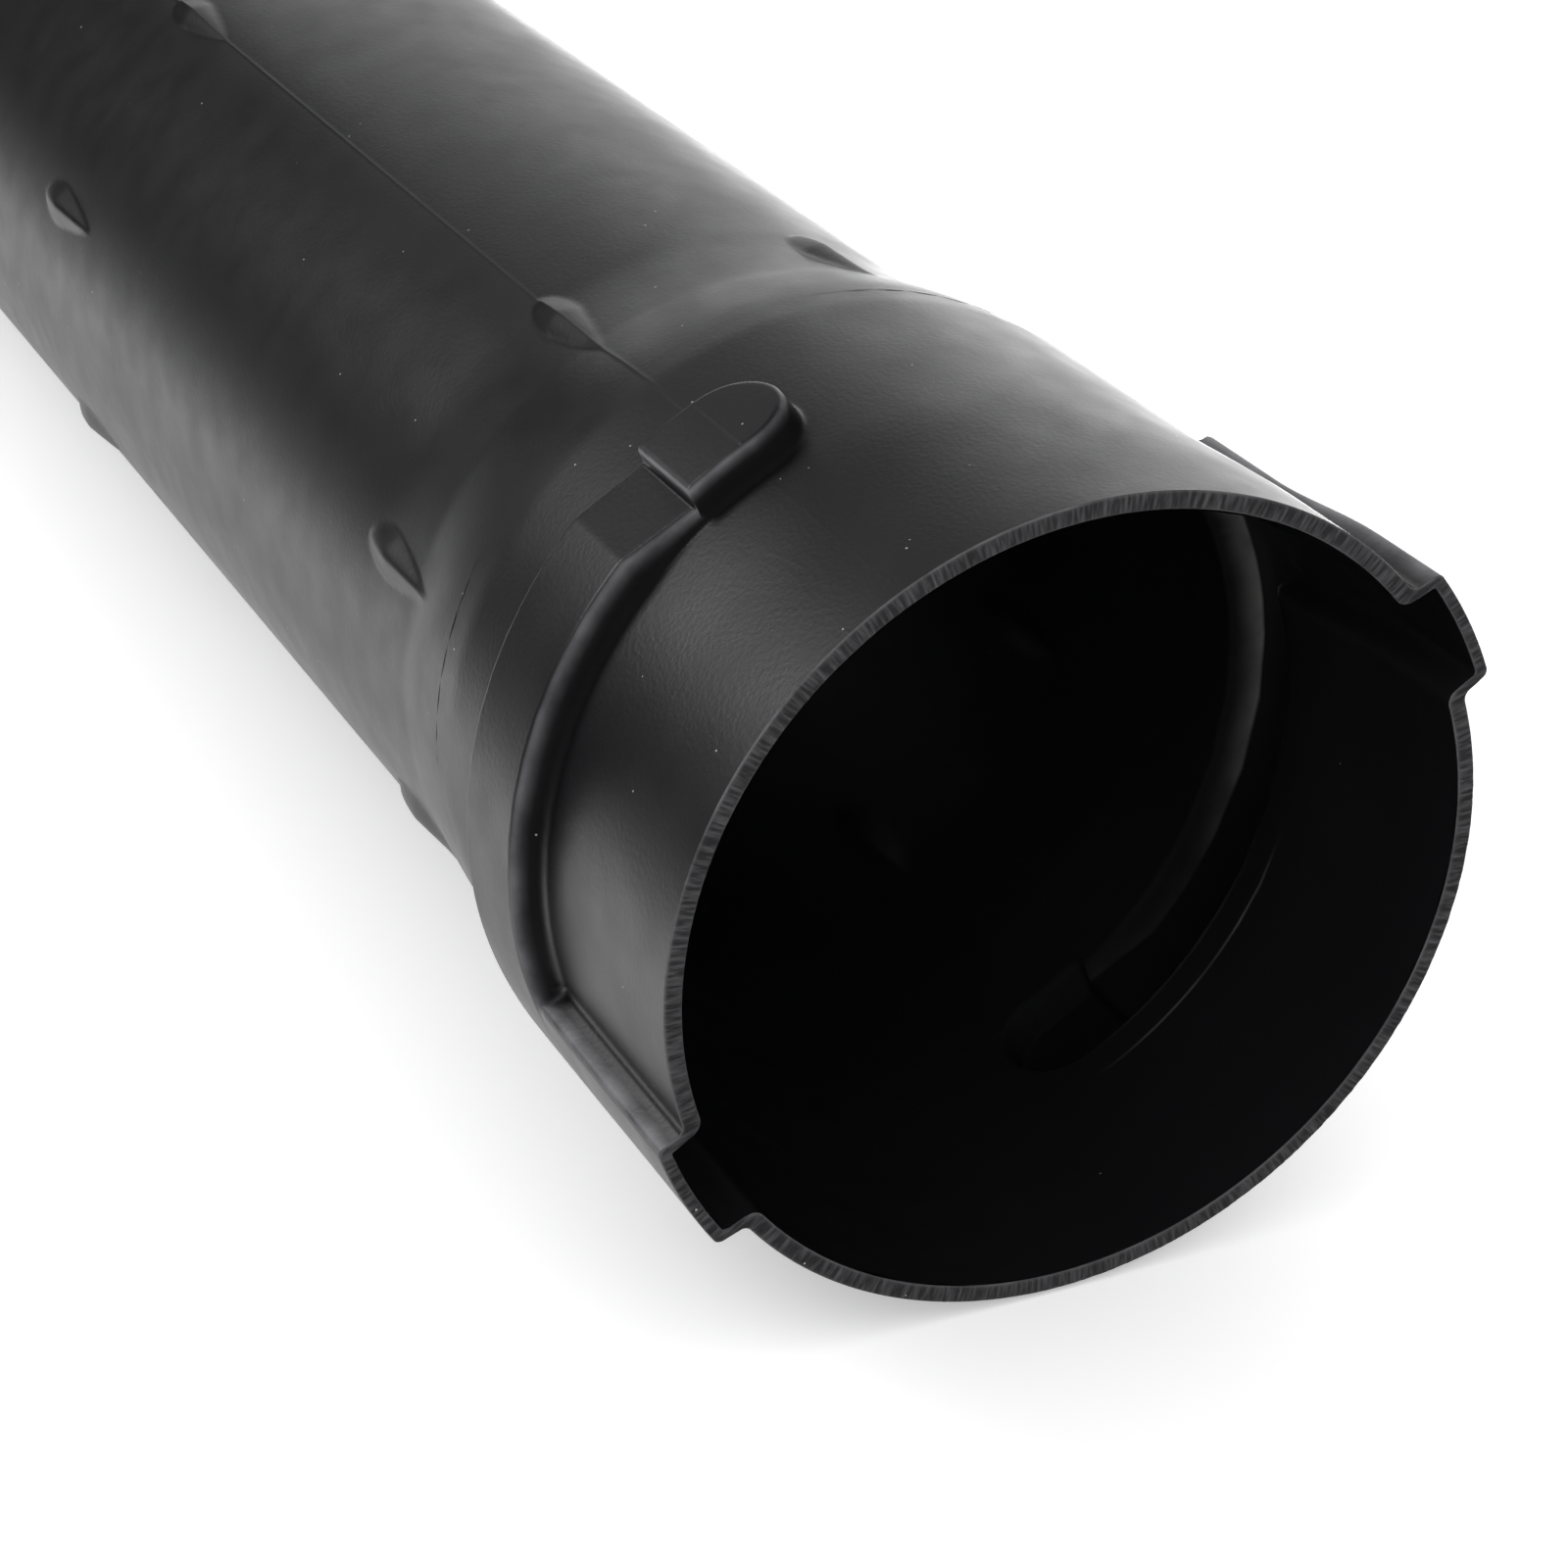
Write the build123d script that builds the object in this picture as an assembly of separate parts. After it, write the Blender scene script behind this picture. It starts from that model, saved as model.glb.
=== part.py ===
from build123d import *
import math
import os

# Blow-moulded leaf blower tube with a bayonet socket at its mouth.
# The tube is drawn along Z, from the cut rim of the socket at Z = 0 to the outlet, with all
# angles counted about Z. It is then laid down on its side, mouth towards +X, as it rests.

# Barrel, in millimetres
tube_length = 400.0
socket_diameter = 93.0
socket_length = 57.5
shoulder_length = 18.5
body_diameter = 90.0
wall = 2.0
shoulder_blend = 30.0

# Bayonet tracks: a keyway in from the rim, then a ridge part of the way round
track_count = 2
track_wall = 1.4
track_front = 30.3
track_width = 13.3
keyway_angle = 26.5
keyway_width = 12.2
keyway_height = 3.4
keyway_side_slope = 26.5
ridge_sweep = 81.4
ridge_height = 3.6
ridge_front_draft = 14.0
track_edge_radius = 1.0

# Ramp at the end of each ridge, where the track gets shallow ahead of the lock pad
ramp_sweep = 11.1
ramp_end_height = 1.7

# Lock pad: square at the ramp, round at its far end, with its centre on the parting plane
pad_angle_from_keyway = 90.0
pad_height = 3.6
pad_lead = 6.8
pad_round_offset = 0.5
pad_rear_offset = 0.45
pad_narrower = 0.8
pad_draft = 17.0
pad_edge_radius = 0.9

# Teardrop nubs in rings round the body, tips towards the mouth
nub_count = 8
nub_ring_first = 72.5
nub_ring_pitch = 133.0
nub_ring_count = 2
nub_length = 19.0
nub_width = 5.6
nub_height = 1.3
nub_fullest = 0.64
nub_sink = 0.15

# How the tube lies: this angle of the section points straight down
rest_angle = 326.0

# Cutting solids run past the faces that they cut by this much
overrun = 2.0

# Each ridge runs on inside its pad by this angle, so that the two make one body
seat_in_pad = 5.0

socket_radius = socket_diameter / 2
body_radius = body_diameter / 2
track_rear = track_front + track_width
keyway_radius = socket_radius + keyway_height
ridge_radius = socket_radius + ridge_height
pad_radius = socket_radius + pad_height
pad_angle = keyway_angle + pad_angle_from_keyway
ridge_end = keyway_angle + ridge_sweep


def polar(radius, angle):
    """Point of the section at a radius and an angle in degrees."""
    return Vector(radius * math.cos(math.radians(angle)), radius * math.sin(math.radians(angle)), 0)


def barrel(inset, extra):
    """Socket, shoulder and body as one turned form, drawn in by inset and run past both ends by extra."""
    socket = socket_radius - inset
    body = body_radius - inset
    shoulder_end = socket_length + shoulder_length
    outline = Polyline(
        (0, 0, -extra),
        (socket, 0, -extra),
        (socket, 0, socket_length),
        (body, 0, shoulder_end),
        (body, 0, tube_length + extra),
        (0, 0, tube_length + extra),
        close=True,
    )
    face = make_face(outline)
    bends = [v for v in face.vertices() if v.X > 1 and 0 < v.Z < tube_length]
    return revolve(fillet(bends, shoulder_blend), Axis.Z)


def rounded(piece, corners, radius):
    """The piece with these corners rounded, or left sharp where the wall takes up the whole radius."""
    return fillet(corners, radius) if radius > 0 else piece


def keyway(inset, extra):
    """Raised straight channel from the rim to the back of the track, with sloped sides."""
    slope = math.radians(keyway_side_slope)
    top = keyway_radius - inset
    foot = socket_radius - wall - inset
    half_top = keyway_width / 2 - inset / math.cos(slope) + inset * math.tan(slope)
    half_foot = half_top + (top - foot) * math.tan(slope)
    reach = keyway_radius + overrun
    half_reach = half_top - (reach - top) * math.tan(slope)
    trapezoid = make_face(
        Polyline((foot, -half_foot), (reach, -half_reach), (reach, half_reach), (foot, half_foot), close=True)
    )
    section = trapezoid & Circle(top)
    section = rounded(section, section.vertices().sort_by(Axis.X)[-2:], track_edge_radius - inset)
    channel = extrude(section, track_rear - inset + extra)
    return Rot(0, 0, keyway_angle) * Pos(0, 0, -extra) * channel


def ramp_cutter(inset):
    """Block that planes the last stretch of a ridge down to the ramp."""
    start = polar(ridge_radius, ridge_end - ramp_sweep)
    end = polar(socket_radius + ramp_end_height, ridge_end)
    along = (end - start).normalized()
    outward = along.cross(Vector(0, 0, 1))
    plane = Plane(origin=(start + end) / 2 - outward * inset, x_dir=along, z_dir=outward)
    size = 3 * ridge_height + (end - start).length
    return plane * Box(size, 3 * track_width, size, align=(Align.CENTER, Align.CENTER, Align.MIN))


def ridge(inset):
    """Raised track that runs round the socket from the keyway to the lock pad, with its end ramp."""
    foot = socket_radius - wall - inset
    top = ridge_radius - inset
    lean = math.tan(math.radians(ridge_front_draft))
    front = track_front + inset - (socket_radius - foot) * lean
    rear = track_rear - inset
    front_top = front + (top - foot) * lean
    face = make_face(
        Polyline((foot, 0, front), (top, 0, front_top), (top, 0, rear), (foot, 0, rear), close=True)
    )
    face = rounded(face, [v for v in face.vertices() if v.X > top - 0.01], track_edge_radius - inset)
    sweep = revolve(face, Axis.Z, ridge_sweep + seat_in_pad)
    return Rot(0, 0, keyway_angle) * sweep - ramp_cutter(inset)


def pad(inset):
    """Lock pad at the end of the ramp: square at one end, half round at the other, with drafted walls."""
    draft = math.radians(pad_draft)
    foot = socket_radius - wall - inset
    spread = (pad_radius - foot) * math.tan(draft) - inset / math.cos(draft)
    half_width = (track_width - pad_narrower) / 2 + spread
    lead = pad_lead + pad_round_offset + spread
    middle = (track_front + track_rear) / 2 + pad_rear_offset
    centre = Pos(pad_round_offset, 0)
    square_end = centre * Rectangle(lead, 2 * half_width, align=(Align.MAX, Align.CENTER))
    outline = square_end + centre * Circle(half_width)
    seat = Plane(
        origin=polar(foot, pad_angle) + Vector(0, 0, middle),
        x_dir=polar(1, pad_angle + 90),
        z_dir=polar(1, pad_angle),
    )
    block = extrude(seat * outline, pad_radius - foot + overrun, taper=pad_draft)
    trimmed = block & Cylinder(pad_radius - inset, tube_length)
    top_face = trimmed.faces().filter_by(GeomType.CYLINDER).sort_by(lambda f: f.center().length)[-1]
    return rounded(trimmed, top_face.edges(), pad_edge_radius - inset)


def nub():
    """One teardrop nub: the crown of a slim spindle that lies sunk in the body's surface.

    Its cross-section at the fullest place is an arc of the nub's width and height. It rises
    straight from the tip to there and rounds off to the tail.
    """
    crown = (nub_width**2 / 4 + nub_height**2) / (2 * nub_height)
    sunk = crown - nub_height - nub_sink
    full = nub_length * nub_fullest
    run_in = full * nub_sink / nub_height
    tip = Vector(sunk, 0, -run_in)
    top = Vector(crown, 0, full)
    end = Vector(sunk, 0, nub_length)
    tail = TangentArc(top, end, tangent=(0, 0, 1))
    base = Polyline(end, (0, 0, nub_length), (0, 0, -run_in), tip)
    spindle = revolve(make_face(Line(tip, top) + tail + base), Axis.Z)
    return Pos(body_radius + nub_height - crown, 0, 0) * spindle


def around(piece, count):
    """Copies of a piece set evenly about the tube's axis."""
    return [Rot(0, 0, 360 / count * n) * piece for n in range(count)]


def tracked_barrel(inset, extra):
    """The barrel with its keyways, ridges and pads, drawn in by the inset, or by the track's own wall."""
    track_inset = track_wall if inset > 0 else 0
    shape = barrel(inset, extra)
    shape += around(keyway(track_inset, extra), track_count)
    shape += around(ridge(track_inset), track_count)
    shape += around(pad(track_inset), track_count)
    return shape


def outer_form():
    """The outside of the tube, with its rings of nubs."""
    shape = tracked_barrel(0, 0)
    for row in range(nub_ring_count):
        ring = Pos(0, 0, nub_ring_first + row * nub_ring_pitch) * Rot(0, 0, keyway_angle) * nub()
        shape += around(ring, nub_count)
    return shape


def laid_down(tube):
    """The tube on its side, mouth towards +X, touching the ground at the socket and at the outlet."""
    drop = math.atan2(socket_radius - body_radius, tube_length - socket_length)
    turned = Rot(0, -90, 0) * Rot(0, 0, 180 - rest_angle) * tube
    leaned = Rot(0, -math.degrees(drop), 0) * Pos(tube_length / 2, 0, 0) * turned
    return Pos(0, 0, -leaned.bounding_box().min.Z) * leaned


blower_tube = laid_down(outer_form() - tracked_barrel(wall, overrun))

os.makedirs("parts", exist_ok=True)
export_step(blower_tube, "parts/blower_tube.step")
print("solids", len(blower_tube.solids()), "volume", round(blower_tube.volume), blower_tube.bounding_box())
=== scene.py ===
"""A blow-moulded leaf blower tube with a bayonet socket: its skin, its plastic, its light and its camera.

The tube is described in its own coordinates, a radius and an angle about its axis and a depth from the rim of
the socket, in millimetres and degrees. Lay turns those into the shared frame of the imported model, in metres.
"""
import logging
import math
from dataclasses import dataclass, field
from enum import Enum

import bpy
import numpy as np
from mathutils import Matrix

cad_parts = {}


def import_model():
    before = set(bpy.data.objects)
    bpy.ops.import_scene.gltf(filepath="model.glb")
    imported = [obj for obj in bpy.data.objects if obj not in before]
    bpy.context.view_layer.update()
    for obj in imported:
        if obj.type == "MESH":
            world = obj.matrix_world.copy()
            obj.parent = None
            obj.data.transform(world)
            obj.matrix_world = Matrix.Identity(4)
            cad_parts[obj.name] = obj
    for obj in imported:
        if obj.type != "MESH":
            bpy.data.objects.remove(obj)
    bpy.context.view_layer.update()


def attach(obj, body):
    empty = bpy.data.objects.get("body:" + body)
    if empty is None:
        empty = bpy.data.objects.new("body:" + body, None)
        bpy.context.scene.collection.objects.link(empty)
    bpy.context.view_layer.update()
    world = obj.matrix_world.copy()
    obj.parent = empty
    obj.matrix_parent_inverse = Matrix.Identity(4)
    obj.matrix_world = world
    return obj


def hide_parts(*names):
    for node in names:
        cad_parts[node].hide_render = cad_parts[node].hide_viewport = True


log = logging.getLogger("tube")
NODE = "blower_tube"
MM = 0.001


class Side(Enum):
    """Which face of the wall a sheet is."""

    OUTSIDE = 1
    INSIDE = -1


def smooth_step(low: float, high: float, value: np.ndarray) -> np.ndarray:
    """Rise from 0 to 1 between two values.

    Args:
        low: value at which the rise starts.
        high: value at which it ends.
        value: where to read it.

    Returns:
        The risen share, between 0 and 1.
    """
    share = np.clip((value - low) / (high - low), 0.0, 1.0)
    return share * share * (3.0 - 2.0 * share)


def turn_from(angle: np.ndarray, centre: float) -> np.ndarray:
    """Signed angle from a centre, in degrees, between -180 and 180.

    Args:
        angle: angles about the axis.
        centre: angle counted as zero.

    Returns:
        The signed differences.
    """
    return (angle - centre + 180.0) % 360.0 - 180.0


def graded(low: float, high: float, zones: list[tuple[float, float, float]], widest: float) -> np.ndarray:
    """Lines from low to high, close together in the zones and spreading out between them.

    The step at a place is the least, over the zones, of the zone's step plus a quarter of the distance to it.

    Args:
        low: first line.
        high: last line.
        zones: start, end and step of each zone.
        widest: widest step allowed.

    Returns:
        The lines' places, from low to high.
    """
    ruler = np.linspace(low, high, 40000)
    step = np.full_like(ruler, widest)
    for start, end, fine in zones:
        away = np.maximum(np.maximum(start - ruler, ruler - end), 0.0)
        step = np.minimum(step, fine + 0.25 * away)
    count = np.concatenate(([0.0], np.cumsum(0.5 * (1.0 / step[1:] + 1.0 / step[:-1]) * np.diff(ruler))))
    lines = max(3, int(math.ceil(count[-1])) + 1)
    return np.interp(np.linspace(0.0, count[-1], lines), count, ruler)


def wall_rise(distance: np.ndarray, width: np.ndarray, height: np.ndarray, crest: float,
              root: float) -> tuple[np.ndarray, np.ndarray]:
    """Height across a sloped wall with a rounded root and a rounded crest.

    The wall is a straight line from (0, 0) to (width, height). A circle of radius root touches the ground and the
    line, and one of radius crest touches the line and the top.

    Args:
        distance: distance inside the wall's foot.
        width: horizontal run of the wall.
        height: height of the wall.
        crest: radius of the rounding at the top.
        root: radius of the rounding at the foot.

    Returns:
        The height, and how strongly the place belongs to the crest, from 0 to 1.
    """
    width = np.broadcast_to(width, distance.shape)
    height = np.maximum(np.broadcast_to(height, distance.shape), 1e-6)
    slope = np.arctan2(height, width)
    half = np.tan(slope / 2.0)
    fit = np.minimum(1.0, 0.95 * height / ((crest + root) * half * np.sin(slope)))
    crest_radius = crest * fit
    root_radius = root * fit
    crest_reach = crest_radius * half
    root_reach = root_radius * half
    line = distance * height / width
    top_centre = width + crest_reach
    over = np.clip(top_centre - distance, 0.0, crest_radius)
    top = height - crest_radius + np.sqrt(np.maximum(crest_radius**2 - over**2, 0.0))
    into = np.clip(distance + root_reach, 0.0, root_radius)
    foot = root_radius - np.sqrt(np.maximum(root_radius**2 - into**2, 0.0))
    rise = np.where(distance < -root_reach, 0.0, foot)
    rise = np.where(distance > root_reach * np.cos(slope), line, rise)
    rise = np.where(distance > width - crest_reach * np.cos(slope), top, rise)
    rise = np.where(distance > top_centre, height, rise)
    middle = width - crest_reach * np.cos(slope) / 3.0
    edge = np.exp(-(((distance - middle) / (0.55 * crest_reach + 1e-6)) ** 2))
    return rise, edge


@dataclass(frozen=True)
class Barrel:
    """The plain turned wall: socket, shoulder and body."""

    length: float = 400.0
    socket_radius: float = 46.5
    socket_length: float = 57.5
    shoulder_length: float = 18.5
    body_radius: float = 45.0
    wall: float = 2.0
    blend: float = 30.0

    def radius(self, depth: np.ndarray) -> np.ndarray:
        """Outer radius of the barrel.

        Args:
            depth: depth from the rim.

        Returns:
            The radius at each depth: two straight cylinders and a cone, with the bends rounded as parabolas.
        """
        slope = (self.socket_radius - self.body_radius) / self.shoulder_length
        reach = self.blend * math.tan(math.atan(slope) / 2.0)

        def past(start: float) -> np.ndarray:
            """Run past a bend, eased in over the bend's reach.

            Args:
                start: depth of the bend.

            Returns:
                The eased run at each depth, 0 ahead of the bend.
            """
            run = depth - start
            return np.where(run < -reach, 0.0, np.where(run > reach, run, (run + reach) ** 2 / (4.0 * reach)))

        end = self.socket_length + self.shoulder_length
        return self.socket_radius - slope * (past(self.socket_length) - past(end))


@dataclass(frozen=True)
class Warp:
    """How the photographed tube departs from its round form, as changes of radius in millimetres.

    The thin mouth has sprung out of round, and the body is slimmer than the socket by more than its nominal step,
    drawn in all round but along its underside.
    """

    mean: float = 0.38
    first: tuple[float, float] = (-0.478, -0.744)
    second: tuple[float, float] = (-0.196, 0.596)
    mouth_full: float = 12.0
    mouth_end: float = 30.0
    body_draw: float = 1.2
    body_start: float = 62.0
    body_full: float = 92.0
    down_angle: float = 326.0

    def change(self, angle: np.ndarray, depth: np.ndarray) -> np.ndarray:
        """Change of radius at each place.

        Args:
            angle: angles about the axis.
            depth: depths from the rim.

        Returns:
            The sum of two waves round the mouth, fading with depth, less the body's draw, which is greatest on top.
        """
        turn = np.radians(angle)
        waves = (self.mean + self.first[0] * np.cos(turn) + self.first[1] * np.sin(turn)
                 + self.second[0] * np.cos(2.0 * turn) + self.second[1] * np.sin(2.0 * turn))
        mouth = waves * (1.0 - smooth_step(self.mouth_full, self.mouth_end, depth))
        drawn = self.body_draw * (1.0 - np.cos(turn - math.radians(self.down_angle)))
        return mouth - drawn * smooth_step(self.body_start, self.body_full, depth)


@dataclass(frozen=True)
class Lay:
    """How the tube lies on the ground, mouth towards +X, on its socket and its outlet."""

    barrel: Barrel
    up_angle: float = 146.0

    @property
    def lean(self) -> float:
        """Angle by which the axis rises towards the mouth, in radians."""
        barrel = self.barrel
        return math.atan2(barrel.socket_radius - barrel.body_radius, barrel.length - barrel.socket_length)

    def place(self, radius: np.ndarray, angle: np.ndarray, depth: np.ndarray) -> np.ndarray:
        """Points of the shared frame.

        Args:
            radius: distance from the axis.
            angle: angle about the axis, clockwise seen from the mouth.
            depth: depth from the rim.

        Returns:
            The points in metres, with the coordinates in the last place.
        """
        turn = np.radians(angle - self.up_angle)
        along = self.barrel.length / 2.0 - depth
        across = radius * np.sin(turn)
        up = radius * np.cos(turn)
        half = self.barrel.length / 2.0
        lift = half * math.sin(self.lean) + self.barrel.body_radius * math.cos(self.lean)
        x = along * math.cos(self.lean) - up * math.sin(self.lean)
        z = along * math.sin(self.lean) + up * math.cos(self.lean) + lift
        x, y, z = np.broadcast_arrays(x, across, z)
        return np.stack([x, y, z], axis=-1) * MM


@dataclass(frozen=True)
class Stretch:
    """A stretch of the section along which a painted highlight line shows, eased in at one end and out at the other.
    """

    rise: tuple[float, float]
    fall: tuple[float, float]
    loss: float = 1.0

    def share(self, angle: np.ndarray) -> np.ndarray:
        """Share of the wear at each angle.

        Args:
            angle: angles about the axis.

        Returns:
            The share, which rises from 0 to 1 and then falls by the loss.
        """
        return smooth_step(*self.rise, angle) * (1.0 - self.loss * smooth_step(*self.fall, angle))


@dataclass(frozen=True)
class Relief:
    """The bayonet socket's keyways, ridge tracks, ramps and lock pads, as heights over the barrel."""

    side: Side
    base: float
    keyway_angle: float = 26.5
    bar_angles: tuple[float, float] = (27.8, 206.3)
    keyway_foot: float = 7.4
    keyway_run: float = 0.62
    keyway_height: float = 3.4
    ridge_height: float = 3.6
    ridge_front: float = 30.3
    ridge_rear: float = 43.76
    front_slope: float = 14.0
    rear_slope: float = 5.0
    ramp_start: float = 96.8
    ramp_end: float = 107.9
    ramp_low: float = 1.7
    pad_angle: float = 116.5
    pad_height: float = 3.6
    pad_middle: float = 37.4
    pad_half: float = 7.35
    pad_lead: float = 7.95
    pad_run: float = 1.1
    pad_bend: float = 0.5
    pad_corner: float = 1.1
    crest: float = 0.75
    root: float = 1.3
    rear_root: float = 0.8
    pad_root: float = 0.7
    ramp_radius: float = 46.5
    ramp_ease: float = 0.12
    rise_sweep: float = 18.0
    track_lead: float = 30.0
    seat_in_pad: float = 5.0
    least_ridge: float = 0.05
    crest_floor: float = 0.3
    # Painted highlight line along the foot of the ridge's front beside each keyway: its strength, place, width and
    # span.
    foot_highlight: float = 0.9
    foot_highlight_shift: float = 0.3
    foot_highlight_width: float = 0.55
    foot_highlight_span: tuple[float, float] = (-0.8, 2.2)
    # Painted highlight lines inside the groove: along its rear corner, its front lip and a thin line ahead of the lip.
    corner_stretch: Stretch = Stretch((188.0, 206.0), (236.0, 272.0), 0.8)
    lip_stretch: Stretch = Stretch((188.0, 200.0), (236.0, 252.0))
    lip_highlight: float = 0.4
    lip_shift: float = 0.25
    lip_width: float = 0.22
    line_stretch: Stretch = Stretch((248.0, 262.0), (286.0, 304.0))
    line_highlight: float = 0.8
    line_depth: float = 26.7
    line_width: float = 0.2

    def ramp(self, angle: np.ndarray) -> np.ndarray:
        """Height of the ridge's top, which a flat plane lowers ahead of the pad.

        Args:
            angle: angle from the zero of the first track.

        Returns:
            The height over the socket.
        """
        drop = self.ridge_height - self.ramp_low
        start = math.radians(self.ramp_start)
        end = math.radians(self.ramp_end)
        high = self.ramp_radius + self.ridge_height
        low = high - drop
        first = np.array([high * math.cos(start), high * math.sin(start)])
        last = np.array([low * math.cos(end), low * math.sin(end)])
        along = (last - first) / np.linalg.norm(last - first)
        normal = np.array([along[1], -along[0]])
        reach = float(first @ normal)
        bearing = math.atan2(normal[1], normal[0])
        plane = reach / np.cos(np.radians(angle) - bearing) - self.ramp_radius
        rise = self.keyway_height + (self.ridge_height - self.keyway_height) * smooth_step(
            self.keyway_angle, self.keyway_angle + self.rise_sweep, angle)
        gap = rise - plane
        ease = self.ramp_ease
        eased = rise - (gap + ease) ** 2 / (4.0 * ease)
        return np.where(gap > ease, plane, np.where(gap < -ease, rise, eased))

    def height(self, angle: np.ndarray, depth: np.ndarray) -> tuple[np.ndarray, np.ndarray]:
        """Height over the barrel and share of crest at each place.

        Args:
            angle: angles about the axis.
            depth: depths from the rim.

        Returns:
            The height in millimetres, and the crest share from 0 to 1: outside a painted highlight along the crests
            and at the ridge's foot, inside painted highlight lines in the groove.
        """
        angle, depth = np.broadcast_arrays(angle, depth)
        track = (angle - self.keyway_angle + 90.0) % 180.0 - 90.0 + self.keyway_angle
        track = np.where(track < self.keyway_angle - self.track_lead, track + 180.0, track)
        arc = math.radians(1.0) * self.base
        aside = np.minimum(*(np.abs(turn_from(angle, centre)) for centre in self.bar_angles))
        bar_side = self.keyway_foot - aside * arc
        rear = self.ridge_rear - depth
        lean = math.tan(math.radians(self.rear_slope))
        bar, bar_edge = wall_rise(bar_side, self.keyway_run, self.keyway_height, self.crest, self.root)
        bar_end, bar_end_edge = wall_rise(rear, self.keyway_height * lean, self.keyway_height, self.crest,
                                          self.rear_root)
        bar_edge = np.where(bar < bar_end, bar_edge, bar_end_edge)
        bar = np.minimum(bar, bar_end)

        top = np.maximum(self.ramp(track), self.least_ridge)
        slope = math.tan(math.radians(self.front_slope))
        front, front_edge = wall_rise(depth - self.ridge_front, top * slope, top, self.crest, self.root)
        back, back_edge = wall_rise(rear, top * lean, top, self.crest * 0.8, self.rear_root)
        ridge_edge = np.where(front < back, front_edge, back_edge)
        on_ridge = (track > self.keyway_angle) & (track < self.ramp_end + self.seat_in_pad)
        ridge = np.where(on_ridge, np.minimum(front, back), 0.0)

        pad, pad_edge = self.pad(track, depth, arc)
        height = np.maximum(np.maximum(bar, ridge), pad)
        edge = np.where(pad >= height, pad_edge, np.where(ridge >= height, ridge_edge, bar_edge))
        # Inside, the crest share is painted highlight lines in the groove.
        if self.side is Side.INSIDE:
            corner = np.where((ridge >= height) & (back < front), back_edge, 0.0)
            return height, self.pale_line_share(angle, depth, corner)
        # Outside, the crest share is a painted highlight along the crests of the bars, ridges and pad, with a painted
        # highlight line at the foot of the ridge's front.
        low, high = self.foot_highlight_span
        foot = np.exp(-(((depth - self.ridge_front + self.foot_highlight_shift) / self.foot_highlight_width) ** 2))
        foot = foot * (bar_side > low) * (bar_side < high)
        return height, np.maximum(edge * (height > self.crest_floor), self.foot_highlight * foot)

    def pale_line_share(self, angle: np.ndarray, depth: np.ndarray, corner: np.ndarray) -> np.ndarray:
        """Share of painted highlight inside the groove: its rear corner, its front lip and a thin line ahead of it.

        Args:
            angle: angles about the axis.
            depth: depths from the rim.
            corner: crest share of the groove's rear corner.

        Returns:
            The share, from 0 to 1, along the stretches where the photograph shows a pale line.
        """
        deep = corner * self.corner_stretch.share(angle)
        lip = np.exp(-(((depth - self.ridge_front + self.lip_shift) / self.lip_width) ** 2))
        lip = self.lip_highlight * lip * self.lip_stretch.share(angle)
        line = np.exp(-(((depth - self.line_depth) / self.line_width) ** 2))
        line = self.line_highlight * line * self.line_stretch.share(angle)
        return np.maximum(np.maximum(deep, lip), line)

    def pad(self, track: np.ndarray, depth: np.ndarray, arc: float) -> tuple[np.ndarray, np.ndarray]:
        """Height and crest share of the lock pad, square towards the ridge and half round at its far end.

        Args:
            track: angle from the zero of the first track.
            depth: depth from the rim.
            arc: length of one degree on the socket.

        Returns:
            The height in millimetres, and the crest share from 0 to 1.
        """
        along = (track - self.pad_angle) * arc
        across = depth - self.pad_middle
        round_in = self.pad_half - np.hypot(along - self.pad_bend, across)
        side_in = self.pad_half - np.abs(across)
        lead_in = along + self.pad_lead
        corner = self.pad_corner
        cut = np.hypot(np.maximum(corner - side_in, 0.0), np.maximum(corner - lead_in, 0.0))
        square_in = np.where((side_in < corner) & (lead_in < corner), corner - cut, np.minimum(side_in, lead_in))
        inside = np.where(along > self.pad_bend, round_in, square_in)
        return wall_rise(inside, self.pad_run, self.pad_height, self.crest * 0.9, self.pad_root)


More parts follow.
